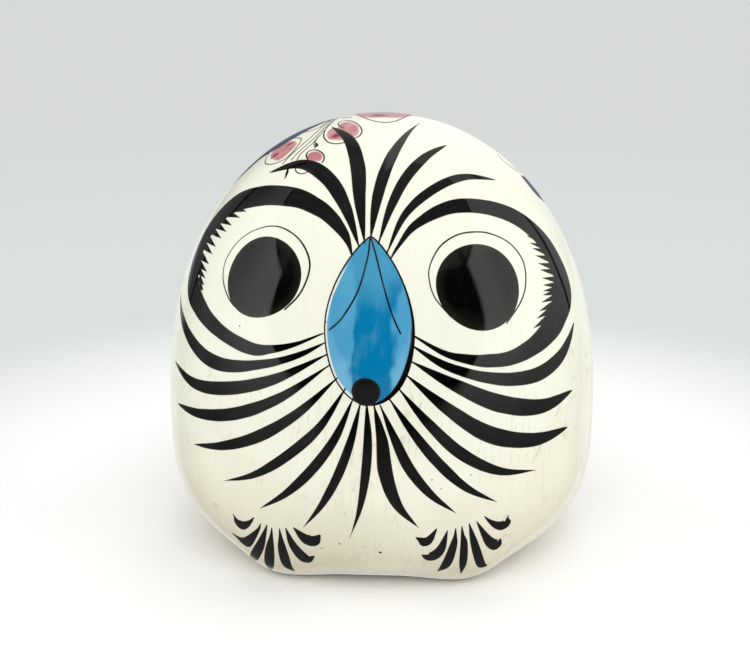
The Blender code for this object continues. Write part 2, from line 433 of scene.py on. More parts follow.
class Paint:
    """Films of paint, each a thin closed solid that follows the glaze."""

    def __init__(self, lift, step=0.8):
        self.lift = lift * MM
        self.step = step * MM
        self.points = []
        self.normals = []
        self.faces = []
        self.flow = []
        self.side = []
        self.films = 0

    def _add(self, spot, normal, flow, side):
        for offset in (self.lift, -PAINT_SINK):
            self.points.append(spot + normal * offset)
            self.normals.append(normal)
            self.flow.append(flow)
            self.side.append(side)
        return len(self.points) - 2

    def film(self, spots, closed):
        """Rows of (spot, normal, flow, side); closed rows are rings round the last row."""
        top = [[self._add(*entry) for entry in row] for row in spots]
        for low, high in zip(top, top[1:]):
            if len(high) == 1:
                ring = low + low[:1]
                self.faces += [(a, b, high[0]) for a, b in zip(ring, ring[1:])]
                self.faces += [(b + 1, a + 1, high[0] + 1) for a, b in zip(ring, ring[1:])]
                continue
            self.faces += row_quads(low, high, closed)
            self.faces += [tuple(k + 1 for k in reversed(f)) for f in row_quads(low, high, closed)]
        if closed:
            edge = top[0] + top[0][:1]
        else:
            right = [row[-1] for row in top]
            left = [row[0] for row in top]
            edge = top[0] + right[1:] + top[-1][-2::-1] + left[-2::-1]
        self.faces += [(b, a, a + 1, b + 1) for a, b in zip(edge, edge[1:])]
        self.films += 1

    def stroke(self, points, widths):
        """Brush stroke along surface points, with a width in millimetres at each."""
        line, widths, shares, length = even_steps(np.array(points), np.array(widths), self.step)
        tangents = np.gradient(line, axis=0)
        columns = 3 + 2 * int(widths.max() / 1.6)
        shift = FILM_SHIFT * self.films
        rows = []
        for spot, width, tangent, share in zip(line, widths, tangents, shares):
            _, normal = surface.drop(spot)
            across = normal.cross(Vector(tangent)).normalized()
            flow = share * length
            shake = 1.0 + 0.05 * noise.noise(Vector((flow / 0.006, shift, 0.0)))
            half = max(width * shake, 0.12) / 2 * MM
            row = []
            for side in np.linspace(1.0, -1.0, columns):
                place, place_normal = surface.drop(Vector(spot) + across * half * side)
                row.append((place, place_normal, flow + shift, side))
            rows.append(row)
        self.film(rows, closed=False)

    def brush(self, chart, knots, width=None, peak=0.55, root=0.5):
        """Stroke through chart knots: (right, up), or (right, up, width) for a set width."""
        line = smooth_line(knots)
        points = np.array([chart.spot(k[0], k[1])[0] for k in line])
        if width is None:
            self.stroke(points, np.maximum(line[:, 2], 0.0))
            return
        gaps = np.linalg.norm(np.diff(points, axis=0), axis=1)
        share = np.concatenate([[0.0], np.cumsum(gaps)]) / gaps.sum()
        fall = (1.0 - peak) / peak
        profile = share / peak * (np.maximum(1.0 - share, 0.0) / (1.0 - peak)) ** fall
        thin = root * np.clip(1.0 - share, 0.0, 1.0) ** 0.7
        self.stroke(points, np.maximum(width * profile, thin))

    def line(self, chart, knots, width=0.45):
        """Thin even line."""
        self.brush(chart, [(k[0], k[1], width) for k in knots])

    def patch(self, chart, knots, rings=6):
        """Filled shape; its outline runs anticlockwise through chart knots."""
        line = smooth_line(knots + knots[:1], per_span=8)[:-1]
        middle = line.mean(axis=0)
        shift = FILM_SHIFT * self.films
        rows = []
        for share in 1.0 - np.arange(rings) / rings:
            ring = [middle + (spot - middle) * share for spot in line]
            rows.append([(*chart.spot(*spot), shift, share) for spot in ring])
        rows.append([(*chart.spot(*middle), shift, 0.0)])
        self.film(rows, closed=True)

    def disc(self, chart, middle, outline, rings=7, steps=48):
        """Filled shape; outline(angle) is its radius in millimetres, angle 0 to the right."""
        angles = 2 * pi * np.arange(steps) / steps
        shift = FILM_SHIFT * self.films
        rows = []
        for share in 1.0 - np.arange(rings) / rings:
            spots = round_spots(chart, middle, outline, share, angles)
            rows.append([(*spot, shift + angle, share) for spot, angle in zip(spots, angles)])
        rows.append([(*chart.spot(*middle), shift, 0.0)])
        self.film(rows, closed=True)

    def finish(self, name, material, slot="front_glaze"):
        new_object(name, self.points, self.faces, material, self.normals,
                   {"flow": self.flow, "side": self.side})


# ---- node helpers

class Graph:
    """Shader nodes of a material, or of the surroundings."""

    def __init__(self, name, owner=None):
        self.owner = owner or bpy.data.materials.new(name)
        self.owner.use_nodes = True
        self.nodes = self.owner.node_tree.nodes
        self.links = self.owner.node_tree.links
        self.shader = self.nodes.get("Principled BSDF")

    def add(self, kind, inputs=None, **settings):
        node = self.nodes.new("ShaderNode" + kind)
        for key, value in settings.items():
            setattr(node, key, value)
        for key, value in (inputs or {}).items():
            self.set(node.inputs[key], value)
        return node

    def set(self, socket, value):
        if isinstance(value, bpy.types.NodeSocket):
            self.links.new(value, socket)
        else:
            socket.default_value = value

    def place(self):
        return self.add("TexCoord").outputs["Object"]

    def attribute(self, name):
        return self.add("Attribute", attribute_name=name).outputs["Fac"]

    def math(self, operation, *values):
        return self.add("Math", dict(enumerate(values)), operation=operation).outputs[0]

    def times(self, first, *more):
        for value in more:
            first = self.math("MULTIPLY", first, value)
        return first

    def plus(self, first, second):
        return self.math("ADD", first, second)

    def minus(self, first, second):
        return self.math("SUBTRACT", first, second)

    def vector(self, operation, first, second):
        return self.add("VectorMath", {0: first, 1: second}, operation=operation).outputs[0]

    def length(self, vector):
        return self.add("VectorMath", {0: vector}, operation="LENGTH").outputs["Value"]

    def stretch(self, vector, scale):
        return self.add("Mapping", {"Vector": vector, "Scale": scale}).outputs[0]

    def join(self, x, y, z):
        return self.add("CombineXYZ", {"X": x, "Y": y, "Z": z}).outputs[0]

    def split(self, vector):
        return self.add("SeparateXYZ", {"Vector": vector}).outputs

    def around(self, axes):
        """Angle round the object, 0 towards -Y."""
        return self.math("ARCTAN2", axes["X"], self.times(axes["Y"], -1.0))

    def noise(self, vector, scale, detail=2.0, rough=0.5):
        inputs = {"Vector": vector, "Scale": scale, "Detail": detail, "Roughness": rough}
        return self.add("TexNoise", inputs).outputs["Fac"]

    def drift(self, vector, scale, detail=2.0):
        """Noise that swings to both sides of zero."""
        return self.minus(self.noise(vector, scale, detail), 0.5)

    def cells(self, vector, scale, feature="F1"):
        return self.add("TexVoronoi", {"Vector": vector, "Scale": scale}, feature=feature).outputs

    def remap(self, value, low, high, to_low=0.0, to_high=1.0):
        inputs = {"Value": value, "From Min": low, "From Max": high,
                  "To Min": to_low, "To Max": to_high}
        return self.add("MapRange", inputs, interpolation_type="SMOOTHSTEP").outputs[0]

    def mix(self, share, first, second):
        node = self.add("Mix", data_type="RGBA")
        self.set(node.inputs["Factor"], share)
        for socket, value in ((node.inputs[6], first), (node.inputs[7], second)):
            self.set(socket, value if isinstance(value, bpy.types.NodeSocket) else (*value, 1.0))
        return node.outputs[2]

    def bump(self, height, strength, distance):
        inputs = {"Height": height, "Strength": strength, "Distance": distance}
        self.links.new(self.add("Bump", inputs).outputs[0], self.shader.inputs["Normal"])

    def finish(self, colour, roughness=GLAZE_ROUGHNESS):
        self.set(self.shader.inputs["Base Color"], colour)
        self.set(self.shader.inputs["Roughness"], roughness)
        return self.owner


# ---- materials

def crackle(g, place):
    """Mask of the fine crackle: short upright ticks on the belly, fading towards the head."""
    axes = g.split(place)
    flat = g.length(g.join(axes["X"], axes["Y"], 0.0))
    slope = g.math("ARCTAN2", g.minus(axes["Z"], EYE_LEVEL.z), flat)
    spread = g.join(g.around(axes), g.times(slope, CRACKLE_FLATTEN), 0.0)
    warp = g.add("TexNoise", {"Vector": place, "Scale": 60.0, "Detail": 2.0}).outputs["Color"]
    warp = g.vector("SUBTRACT", warp, (0.5, 0.5, 0.5))
    bent = g.vector("ADD", spread, g.vector("MULTIPLY", warp, (0.05, 0.05, 0.05)))
    away = g.cells(bent, CRACKLE_CELLS, "DISTANCE_TO_EDGE")["Distance"]
    line = g.remap(away, 0.0, 0.05, 1.0, 0.0)
    patchy = g.remap(g.noise(place, 50.0, 4.0), 0.42, 0.62, 0.08, 1.0)
    broken = g.remap(g.noise(place, 300.0), 0.44, 0.58)
    height = g.remap(axes["Z"], 0.05, 0.13, 1.0, 0.35)
    return g.times(patchy, broken, height, line)


def specks(g, place):
    """Mask of sparse iron specks."""
    cells = g.cells(place, 170.0)
    dot = g.remap(cells["Distance"], 0.05, 0.10, 1.0, 0.0)
    rare = g.remap(g.split(cells["Color"])["X"], 0.955, 0.965)
    return g.times(dot, rare)


def cream_glaze(name):
    """Cream slip under clear glaze: warmer and blotchier low down, and darker there as painted shade;
    crazed, with iron specks.
    """
    g = Graph(name)
    place = g.place()
    height = g.split(place)["Z"]
    warm_and_shaded_cream, cool, blush = (0.66, 0.625, 0.48), (0.91, 0.91, 0.775), (0.79, 0.735, 0.58)
    streak, crack, iron = (0.72, 0.68, 0.56), (0.42, 0.35, 0.30), (0.13, 0.08, 0.05)
    # Darker and warmer below about 55 mm: painted shade of the lower body, together with a warmer cream
    # tone there
    shade_height = g.plus(height, g.times(g.drift(place, 20.0, 3.0), 0.05))
    colour = g.mix(g.remap(shade_height, 0.0, 0.055), warm_and_shaded_cream, cool)
    low = g.remap(height, 0.02, 0.11, 0.42, 0.05)
    patches = g.remap(g.noise(place, 26.0, 4.0), 0.44, 0.68)
    colour = g.mix(g.times(low, patches), colour, blush)
    streaks = g.noise(g.stretch(place, (1.0, 1.0, 0.12)), 330.0, 3.0)
    colour = g.mix(g.remap(streaks, 0.5, 0.8, 0.0, 0.16), colour, streak)
    net = crackle(g, place)
    colour = g.mix(g.times(net, 0.34), colour, crack)
    colour = g.mix(specks(g, place), colour, iron)
    g.bump(g.minus(g.noise(place, 90.0, 3.0), g.times(net, 0.3)), *GLAZE_BUMP)
    return g.finish(colour)


def black_paint(name):
    """Iron-black brush paint: greyer where thin, with dry streaks along the stroke."""
    g = Graph(name)
    deep, soft = (0.0008, 0.0009, 0.0009), (0.004, 0.0045, 0.004)
    dry, rim = (0.045, 0.044, 0.038), (0.035, 0.028, 0.02)
    side = g.attribute("side")
    along = g.times(g.attribute("flow"), 60.0)
    hairs = g.noise(g.join(along, g.times(side, 3.2), 0.0), 1.6, 4.0, 0.6)
    colour = g.mix(g.remap(g.noise(g.place(), 120.0, 3.0), 0.4, 0.7), deep, soft)
    colour = g.mix(g.remap(hairs, 0.56, 0.76, 0.0, 0.6), colour, dry)
    edge = g.remap(g.math("ABSOLUTE", side), 0.75, 1.0, 0.0, 0.35)
    g.bump(hairs, 0.03, 0.1 * MM)
    return g.finish(g.mix(edge, colour, rim), 0.02)


def line_paint(name):
    g = Graph(name)
    thin = g.remap(g.noise(g.place(), 260.0, 3.0), 0.4, 0.7)
    return g.finish(g.mix(thin, (0.008, 0.007, 0.005), (0.045, 0.036, 0.026)))


def beak_glaze(name):
    """Watery blue: a darker band down the middle, paler brush marks to its sides and low down."""
    g = Graph(name)
    place = g.place()
    axes = g.split(place)
    deep, light, pale = (0.0, 0.185, 0.395), (0.075, 0.335, 0.565), (0.16, 0.46, 0.66)
    sea, milky = (0.085, 0.37, 0.55), (0.14, 0.44, 0.62)
    bare, blush = (0.80, 0.80, 0.74), (0.36, 0.25, 0.28)
    drift = g.drift(g.stretch(place, (1.0, 0.4, 0.6)), 120.0)
    off_axis = g.math("ABSOLUTE", g.minus(axes["X"], 0.0016))
    wide = g.plus(off_axis, g.times(drift, 0.014))
    level = g.plus(axes["Z"], g.times(drift, 0.02))
    colour = g.mix(g.remap(wide, 0.0054, 0.0076), deep, light)
    colour = g.mix(g.remap(level, 0.098, 0.108, 0.0, 0.6), colour, sea)
    low_side = g.times(g.remap(level, 0.076, 0.090, 1.0, 0.0),
                           g.remap(wide, 0.0054, 0.0090))
    colour = g.mix(low_side, colour, pale)
    wash = g.noise(g.stretch(place, (1.0, 0.4, 0.5)), 190.0, 4.0, 0.55)
    colour = g.mix(g.remap(wash, 0.48, 0.80, 0.0, 0.35), colour, milky)
    # A sliver along the owl's right rim was missed by the brush
    ragged = g.plus(g.attribute("share"), g.times(drift, 0.06))
    right_side = g.remap(axes["X"], -0.001, 0.004, 1.0, 0.0)
    below = g.remap(axes["Z"], 0.105, 0.114, 1.0, 0.0)
    missed = g.times(g.remap(ragged, 0.93, 0.95), right_side, below)
    colour = g.mix(missed, colour, bare)
    colour = g.mix(g.remap(axes["Z"], 0.1180, 0.1196), colour, blush)
    g.bump(g.noise(place, 90.0, 3.0), *GLAZE_BUMP)
    return g.finish(colour, 0.11)


def petal_paint(name):
    """Pink wash, thinning at the edge."""
    g = Graph(name)
    wash = g.remap(g.noise(g.place(), 300.0, 3.0), 0.35, 0.7)
    colour = g.mix(wash, (0.50, 0.19, 0.195), (0.66, 0.31, 0.31))
    edge = g.remap(g.attribute("side"), 0.86, 1.0, 0.0, 0.7)
    return g.finish(g.mix(edge, colour, (0.84, 0.70, 0.66)))


def blot_paint(name):
    """Crimson blot that fades into the pink of its petal."""
    g = Graph(name)
    wash = g.times(g.noise(g.place(), 500.0, 3.0), 0.5)
    fade = g.remap(g.plus(g.attribute("side"), wash), 0.5, 1.2)
    return g.finish(g.mix(fade, (0.22, 0.032, 0.062), (0.58, 0.25, 0.252)))


def leaf_paint(name):
    """Slate-blue wash, darker along one side of the leaf, and less glossy than the glaze."""
    g = Graph(name)
    wash = g.remap(g.noise(g.place(), 200.0, 4.0, 0.6), 0.35, 0.68)
    colour = g.mix(wash, (0.045, 0.056, 0.10), (0.11, 0.13, 0.20))
    shade = g.remap(g.attribute("side"), 0.2, 1.0, 0.0, 0.6)
    g.shader.inputs["Specular IOR Level"].default_value = 0.05
    return g.finish(g.mix(shade, colour, (0.018, 0.021, 0.042)), 0.5)


def bare_clay(name, tint):
    """Unglazed fired clay with a sandy grain."""
    g = Graph(name)
    place = g.place()
    grain = g.noise(place, 900.0, 5.0, 0.65)
    cloud = g.remap(g.noise(place, 40.0, 3.0), 0.35, 0.65)
    colour = g.mix(cloud, tuple(0.7 * c for c in tint), tint)
    colour = g.mix(g.remap(grain, 0.45, 0.75, 0.0, 0.6), colour, (0.66, 0.52, 0.38))
    g.bump(grain, 0.35, 0.4 * MM)
    return g.finish(colour, 0.88)


# ---- brushwork of the face

def egg(half_width, half_height, flat):
    """Outline of an egg shape: its radius at an angle."""
    def outline(angle):
        base = 1.0 / sqrt((cos(angle) / half_width) ** 2 + (sin(angle) / half_height) ** 2)
        return base * (1.0 + flat * cos(3 * angle + 0.6))
    return outline


# Each eye: piece, middle, egg shape of the pupil, and (right, up, width) knots of its ring
EYES = (
    ("pupil_right_side", (-30.9, 19), (14.3, 13.4, 0.012), [(-23.6, 9.8, 0.5), (-19.7, 13.6, 0.6),
     (-17.4, 17.8, 0.6), (-16.5, 22, 0.6), (-17.6, 25.8, 0.6), (-20.2, 29.3, 0.5), (-24.2, 31.9, 0.45),
     (-28.2, 32.9, 0.4), (-33.3, 32.3, 0.35), (-38.2, 30.3, 0.35), (-42.1, 26.8, 0.4), (-44.2, 22.7, 0.4),
     (-44.1, 18, 0.45), (-42, 13.4, 0.5), (-39.6, 10.6, 0.5)]),
    ("pupil_left_side", (30.4, 17.4), (14.8, 14.1, -0.012), [(22.4, 8.8, 0.4), (17.9, 13.8, 0.4),
     (16.1, 18.6, 0.4), (16.2, 22.6, 0.4), (18.7, 27.6, 0.5), (23.1, 30.9, 0.5), (28.3, 32.2, 0.5),
     (33.3, 32.1, 0.5), (39.1, 30.1, 0.5), (43.4, 25.7, 0.55), (44.5, 19.9, 0.55), (43.1, 14, 0.5),
     (38.4, 7.2, 0.5)]),
)


def paint_eyes(black, line_ink):
    rings = Paint(WASH_LIFT)
    for name, middle, form, ring in EYES:
        eye = Paint(STROKE_LIFT)
        eye.disc(FACE, middle, egg(*form), rings=10, steps=72)
        eye.finish(name, black)
        rings.brush(FACE, ring)
    rings.finish("eye_rings", line_ink)


def serration(paint, tips, roots, count, width):
    """Row of pointed spikes; their tips and their roots lie along two smooth lines."""
    tip_line, root_line = smooth_line(tips), smooth_line(roots)
    for stop in np.linspace(0, len(tip_line) - 1, count).round().astype(int):
        tip, root = tip_line[stop], root_line[stop]
        middle = tip * 0.45 + root * 0.55
        paint.brush(FACE, [(*root, width), (*middle, width * 0.66), (*tip, 0.1)])


# Each brow: piece, (right, up, width) knots, tips and roots of its spikes, their count and width
BROWS = (
    ("brow_right_side", [(-4.9, 24.5, 0.4), (-5.9, 27.7, 1.6), (-7.6, 30.8, 3.3), (-11.4, 35, 4.7),
     (-15.6, 37.9, 5.6), (-22.3, 40.8, 7), (-34.4, 42.7, 8.2), (-47.1, 41.6, 8.8), (-58.6, 33, 9.6),
     (-60.4, 19.4, 9.2), (-53.2, 9.7, 6.8), (-43.9, 2.9, 4.8), (-34, -1.2, 4.2), (-27.5, -1.2, 2.8),
     (-20.2, 0.5, 1.4), (-12.4, 3.7, 0.4)],
     [(-38, 38.4), (-44.9, 33.6), (-50, 27.9), (-52.3, 20.8), (-52.9, 15.5)],
     [(-44.5, 40.6), (-51, 37.2), (-55.6, 31.6), (-57.4, 24), (-55.6, 17.6)], 12, 2.5),
    ("brow_left_side", [(5.4, 23.8, 0.4), (7.6, 27.6, 1.2), (11.9, 33.2, 2.7), (21.3, 38.6, 4.8),
     (32.5, 39.8, 5.6), (43.9, 37.8, 6.8), (54.3, 31.4, 8.6), (60.6, 20.1, 11), (56.9, 10, 9.6),
     (50, 2.5, 7), (41, -2.3, 4.9), (33, -3.3, 4.1), (26.8, -2.7, 3), (20.5, -1, 1.8), (11.6, 4, 0.4)],
     [(45.3, 33.4), (48.6, 27.2), (51, 20), (50.6, 14.4), (47.4, 6)],
     [(51.6, 33), (55, 27), (57.8, 20.4), (57, 16.4), (52.8, 9.2)], 14, 2.3),
)


def paint_brows(black):
    for name, knots, tips, roots, count, width in BROWS:
        brow = Paint(BROW_LIFT)
        brow.brush(FACE, knots)
        serration(brow, tips, roots, count, width)
        brow.finish(name, black)


# Feathers from the beak outwards: knots, widest millimetres and how far along that is; a feather
# whose knots have a width has neither
CROWN_FEATHERS = (
    ([(-3.4, 27.8), (-7.2, 37.4), (-12.8, 45.8), (-21.3, 51.3), (-32.4, 50.5)], 5.0, 0.55),
    ([(-1.8, 28.9), (-3.5, 39.4), (-4.8, 49.6), (-8.2, 59), (-15.1, 66.8)], 4.8, 0.52),
    ([(0, 30.2), (1.3, 40.9), (3.8, 51), (7.7, 60.4), (12.4, 69.4)], 3.9, 0.42),
    ([(2.3, 28.7), (4.9, 37.6), (8.5, 45.9), (13.7, 53.2), (20.3, 59.4)], 3.5, 0.55),
    ([(4.7, 26.1), (8.8, 35.7), (15.9, 43), (24.8, 48.2), (35.5, 49.9)], 3.2, 0.55),
)

CHEST_FEATHERS = (
    ([(-12.6, 0.8, 0.5), (-18.1, -2, 1.8), (-23.9, -4.1, 2.3), (-29.9, -5.5, 2.9), (-38.5, -6.6, 4),
      (-45.8, -6.1, 4.8), (-52.6, -3.5, 4.8), (-60.2, 2, 4.2), (-66.5, 8.6, 2.6),
      (-71.8, 15.7, 0.4)], None, None),
    ([(-12.3, -2.6), (-26.5, -9.6), (-41.1, -13.2), (-55.7, -13.3), (-69.7, -8)], 4.5, 0.55),
    ([(-11.7, -5.8), (-24.5, -14.6), (-38.1, -20.2), (-52.2, -22.3), (-66.4, -21.8)], 4.2, 0.55),
    ([(-9.1, -9.2), (-19.5, -18.8), (-30.9, -26), (-43, -30.3), (-55.4, -32.3)], 3.9, 0.52),
    ([(-6.6, -12.2), (-13.5, -22.7), (-22.3, -30.7), (-31.8, -36.7), (-42.1, -40)], 3.4, 0.48),
    ([(-4.3, -15), (-8.9, -25.3), (-15, -33.8), (-22.2, -40.6), (-30.1, -45.5)], 3.4, 0.5),
    ([(-2.1, -16.1), (-4.6, -26.1), (-8, -35.2), (-12.3, -42.9), (-17.6, -49.3)], 3.1, 0.48),
    ([(-0.2, -16), (0.1, -26.1), (-0.6, -35.6), (-2.2, -44), (-4.9, -51.4)], 3.1, 0.42),
    ([(1.8, -16), (4, -25.5), (5, -34.7), (7.9, -42.5), (13.5, -48.3)], 4.6, 0.48),
    ([(3.5, -15.9), (7.4, -24.9), (11.4, -33.2), (16.9, -39.8), (23.6, -44.7)], 3.5, 0.5),
    ([(5.7, -13.6), (12.3, -23), (19.1, -31.4), (26.5, -38.2), (35.1, -42.6)], 3.5, 0.5),
    ([(8.3, -10.8), (16.8, -20.8), (25.8, -29.3), (36.2, -34.5), (47.9, -35.7)], 4.0, 0.48),
    ([(10, -6.8), (21.8, -16.5), (33.9, -24.2), (47.4, -26.9), (61.4, -25.4)], 5.6, 0.56),
    ([(11.3, -3.2), (24.2, -10.1), (37.2, -15.6), (50.6, -17.3), (63.9, -13.9)], 5.8, 0.56),
    ([(11.9, 0.9, 0.4), (19.9, -3.9, 2.4), (26.4, -6.4, 3), (33, -8, 3.6), (41, -8.7, 4.4),
      (49.8, -7.4, 4.9), (57.6, -3, 4.5), (62.4, 2.6, 2.8), (65.4, 7.9, 0.4)], None, None),
)

def from_beak(knots, reach):
    """Knots with the root carried a little further towards the beak."""
    first, second = np.array(knots[0]), np.array(knots[1])
    step = (first - second) / np.linalg.norm(second - first)
    return [tuple(first + step * reach)] + knots


def paint_feathers(black):
    crown = Paint(OVER_LIFT)
    for knots, width, peak in CROWN_FEATHERS:
        crown.brush(FACE, from_beak(knots, 1.0), width, peak)
    crown.finish("crown_feathers", black)
    chest = Paint(STROKE_LIFT)
    for knots, width, peak in CHEST_FEATHERS:
        to_beak = from_beak(knots, 1.1) if knots[0][0] < 1.0 else knots
        chest.brush(FACE, to_beak, width, peak)
    chest.finish("chest_feathers", black)


# Comma strokes of each foot, (right, up, width), from the thin root round to the hooked tip
FEET = {
    "foot_right_side": (
        [(-31.9, -48.2, 0.3), (-33.1, -49.6, 1.3), (-34.7, -50.8, 2.7), (-36.4, -51.2, 4),
         (-37.6, -50.5, 3), (-38.2, -49.6, 1.2), (-38.9, -48.5, 0.2)],
        [(-29.9, -49.6, 0.3), (-30.8, -51.6, 1.3), (-34.2, -55.6, 3.8), (-36, -56.1, 3.6),
         (-37.6, -55.7, 1.8), (-40, -54.9, 0.3)],
        [(-27.9, -49.6, 0.3), (-29.8, -54.9, 2.9), (-31.5, -58.1, 3.5), (-33.3, -61, 3),
         (-35.2, -63.2, 1.2)],
        [(-26.5, -50.2, 0.3), (-26.7, -52.6, 1.3), (-27.1, -55.5, 3), (-27.5, -58.4, 3.7),
         (-28, -61.6, 3.2), (-28.7, -65, 0.3)],
        [(-24.3, -50.1, 0.3), (-24, -52.3, 1.3), (-23.7, -54.9, 3), (-23.2, -57.9, 3.7),
         (-22.6, -61, 3.2), (-21.2, -63.4, 0.6)],
        [(-22.5, -49.7, 0.3), (-20.6, -54.1, 3), (-17.7, -58.1, 4.4), (-16.6, -58.4, 3.4),
         (-14.8, -57.3, 0.4)],
        [(-20.3, -49.4, 0.3), (-17.4, -51.9, 3.8), (-15.8, -52.6, 4.8), (-14.4, -52.4, 4.2),
         (-12.9, -50.9, 0.6)],
    ),
    "foot_left_side": (
        [(18.3, -48.5, 0.3), (16.3, -51.3, 2.8), (15, -52.1, 3.9), (14.1, -51.6, 2.4),
         (12.6, -50.8, 0.3)],
        [(21.1, -49.1, 0.3), (19.5, -53.5, 2.9), (18.1, -55.5, 4), (16.6, -56.5, 4.2), (15.5, -56.6, 2.8),
         (14.1, -55.9, 0.3)],
        [(23.3, -48.6, 0.3), (23.1, -50.8, 1.3), (22.5, -53.4, 2.7), (20.5, -58.9, 3.2),
         (18.4, -61.7, 0.4)],
        [(25, -48.1, 0.3), (25.1, -50.4, 1.2), (25.4, -53, 2.5), (25, -58.1, 2.6), (24.5, -61.8, 0.3)],
        [(27, -47.5, 0.3), (28.2, -53, 2.7), (29.6, -58.4, 3.2), (30.5, -59.8, 2.4), (31.8, -60.3, 0.5)],
        [(29.1, -47.2, 0.3), (31.6, -51.8, 2.7), (33.1, -53.7, 3.8), (34.6, -54.4, 4.4),
         (35.4, -53.8, 2.2), (35.7, -52.8, 0.3)],
        [(31.3, -46, 0.3), (32.8, -47.5, 1.4), (34.7, -48.8, 2.8), (36.5, -49.2, 3.9), (37.8, -48.6, 3.4),
         (37.9, -47.6, 1.2), (38.3, -46.6, 0.2)],
    ),
}


def paint_feet(black):
    for name, commas in FEET.items():
        paint = Paint(STROKE_LIFT, step=0.45)
        for knots in commas:
            paint.brush(FACE, knots)
        paint.finish(name, black)


def paint_beak(black, line_ink):
    outline = Paint(OVER_LIFT)
    angles = np.linspace(-178, 178, 120)
    heavy = np.exp(-((angles - 126) / 38) ** 2)
    points = [beak_spot(radians(a), 1.0 + 0.035 * h) for a, h in zip(angles, heavy)]
    outline.stroke(points, 0.5 + 1.35 * heavy)
    outline.finish("beak_outline", black, "beak_glaze")
    lines = Paint(OVER_LIFT)
    for knots in ([(-0.2, 29.3), (-0.7, 23.8), (-3.0, 14.9), (-7.1, 7.8), (-10.8, 4.5)],
                  [(0.1, 29.3), (1.8, 23.9), (3.8, 16.8), (6.2, 9.4), (8.8, 3.9)]):
        lines.line(FACE, knots, 0.5)
    lines.finish("beak_lines", line_ink, "beak_glaze")
    tip = Paint(TOP_LIFT)
    tip.patch(FACE, [(-4.4, -12.0), (-3.8, -14.3), (-2.4, -15.8), (-0.4, -16.3), (1.4, -15.9),
                     (2.9, -14.4), (3.6, -12.2), (3.0, -10.0), (1.5, -8.6), (-0.5, -8.1),
                     (-2.4, -8.6), (-3.8, -9.9)])
    tip.finish("beak_tip", black, "beak_glaze")


def paint_specks(line_ink):
    """The few iron spots big enough to see."""
    spots = Paint(WASH_LIFT)
    for right, up, size in ((3.1, -55.4, 0.55), (-7.7, -53.1, 0.35), (-12.6, -54.7, 0.3),
                            (17.6, -36.2, 0.26), (19.9, -38.5, 0.22), (28.3, -35.1, 0.24),
                            (-37.5, 5.0, 0.3), (-11.7, 6.8, 0.3)):
        spots.disc(FACE, (right, up), egg(size, size * 0.8, 0.08), rings=2, steps=14)
    spots.finish("iron_spots", line_ink)


# ---- flowers

def lobed(radius, depth, turn=0.0):
    """Outline of a blossom with five soft lobes: its radius at an angle."""
    def outline(angle):
        return radius * (1.0 + depth * cos(5 * (angle - turn)))
    return outline


def flower_paints():
    """Paint for petals, blots, lines and leaves."""
    return [Paint(lift) for lift in (WASH_LIFT, BLOT_LIFT, INK_LIFT, STROKE_LIFT)]


def finish_flowers(paints, materials, half):
    kinds = ("blossoms_", "blossom_blots_", "flower_lines_", "leaves_")
    for kind, paint, material in zip(kinds, paints, materials):
        paint.finish(kind + half, material, half + "_glaze")


def blossom(paints, chart, middle, outline):
    """Petals with two blots and a thin line round them."""
    petals, blots, ink, _ = paints
    petals.disc(chart, middle, outline)
    right, up = middle
    size = 0.26 * outline(0.0)
    for turn in (40, 215):
        spot = (right + size * cos(radians(turn)), up + size * sin(radians(turn)))
        blots.disc(chart, spot, egg(size, 0.7 * size, 0.1), rings=5, steps=24)
    edge = round_spots(chart, middle, outline, 1.14, np.linspace(0, radians(352), 40))
    ink.stroke([spot for spot, _ in edge], np.full(len(edge), 0.4))


